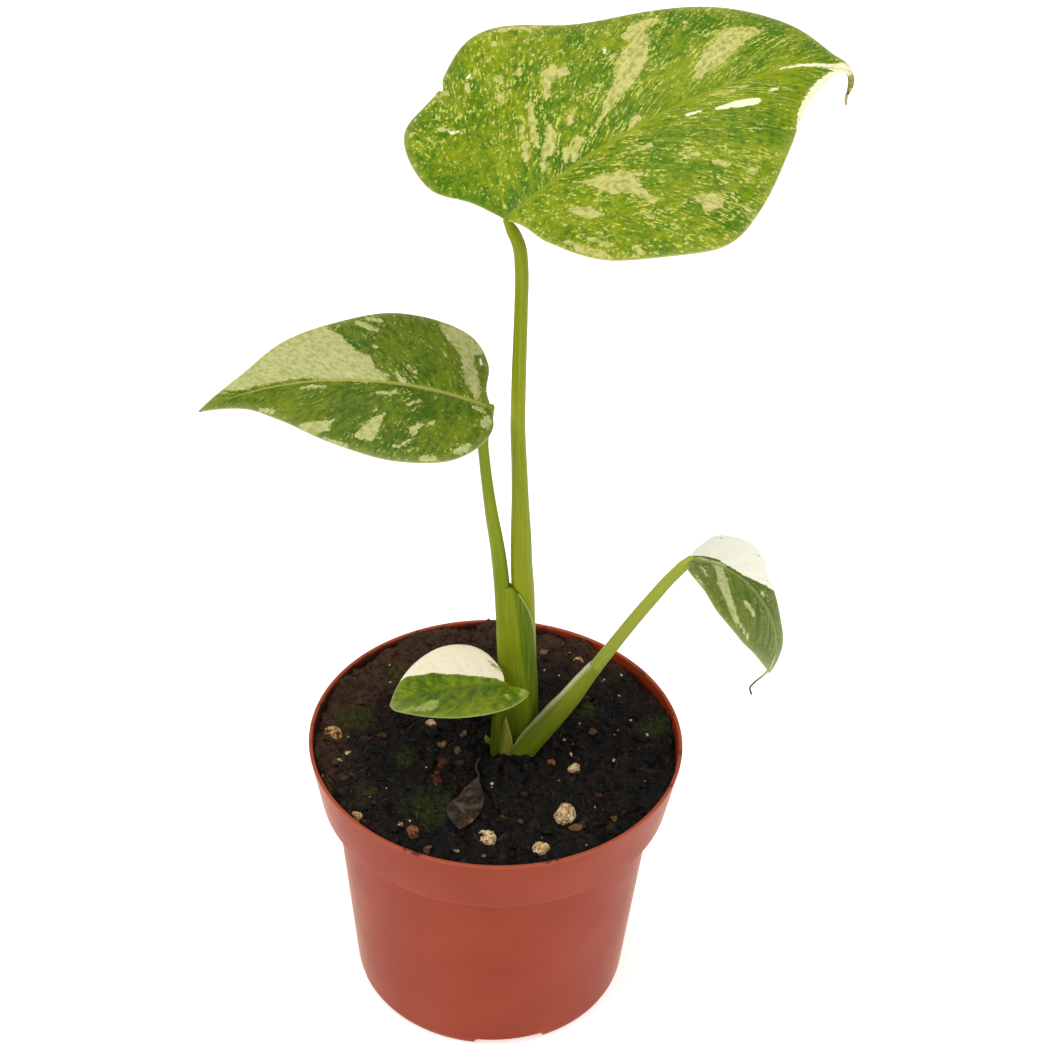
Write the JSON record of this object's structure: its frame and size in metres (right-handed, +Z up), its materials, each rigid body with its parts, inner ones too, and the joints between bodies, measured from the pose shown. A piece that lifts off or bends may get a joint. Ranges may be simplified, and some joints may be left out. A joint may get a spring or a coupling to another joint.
{
  "type": "potted thai constellation monstera",
  "caption": "Young variegated monstera with arching heart-shaped leaves on slim sheathed stalks, rooted in soil in a round plastic nursery pot.",
  "frame": {"origin": "middle of the pot's flat underside", "axes": "+Z up from the pot's foot, -Y towards the plant's front, +X to the side that the large leaf points to"},
  "size_m": [0.1824, 0.1198, 0.3214],
  "materials": {
    "pot_plastic": "satin injection-moulded",
    "potting_soil": "moist peat and bark",
    "crown_and_root": "matte",
    "leaf_stalk": "smooth, waxy",
    "leaf_blade": "semi-gloss, variegated",
    "bract": "matte, thin",
    "withered_leaf": "dry, slightly glossy",
    "pale_grain": "porous",
    "brown_grain": "matte bark"
  },
  "bodies": {
    "root": {"pot": "pot_plastic", "soil": "potting_soil", "crown_with_roots": "crown_and_root", "leaf_stalk_1": "leaf_stalk", "leaf_stalk_2": "leaf_stalk", "leaf_stalk_3": "leaf_stalk", "leaf_stalk_4": "leaf_stalk", "leaf_blade_1": "leaf_blade", "leaf_blade_2": "leaf_blade", "leaf_blade_3": "leaf_blade", "leaf_blade_4": "leaf_blade", "bract_1": "bract", "bract_2": "bract", "withered_leaf": "withered_leaf", "grain_01": "pale_grain", "grain_02": "pale_grain", "grain_03": "pale_grain", "grain_04": "pale_grain", "grain_05": "pale_grain", "grain_06": "brown_grain", "grain_07": "pale_grain", "grain_08": "brown_grain", "grain_09": "pale_grain", "grain_10": "pale_grain"}
  },
  "joints": []
}
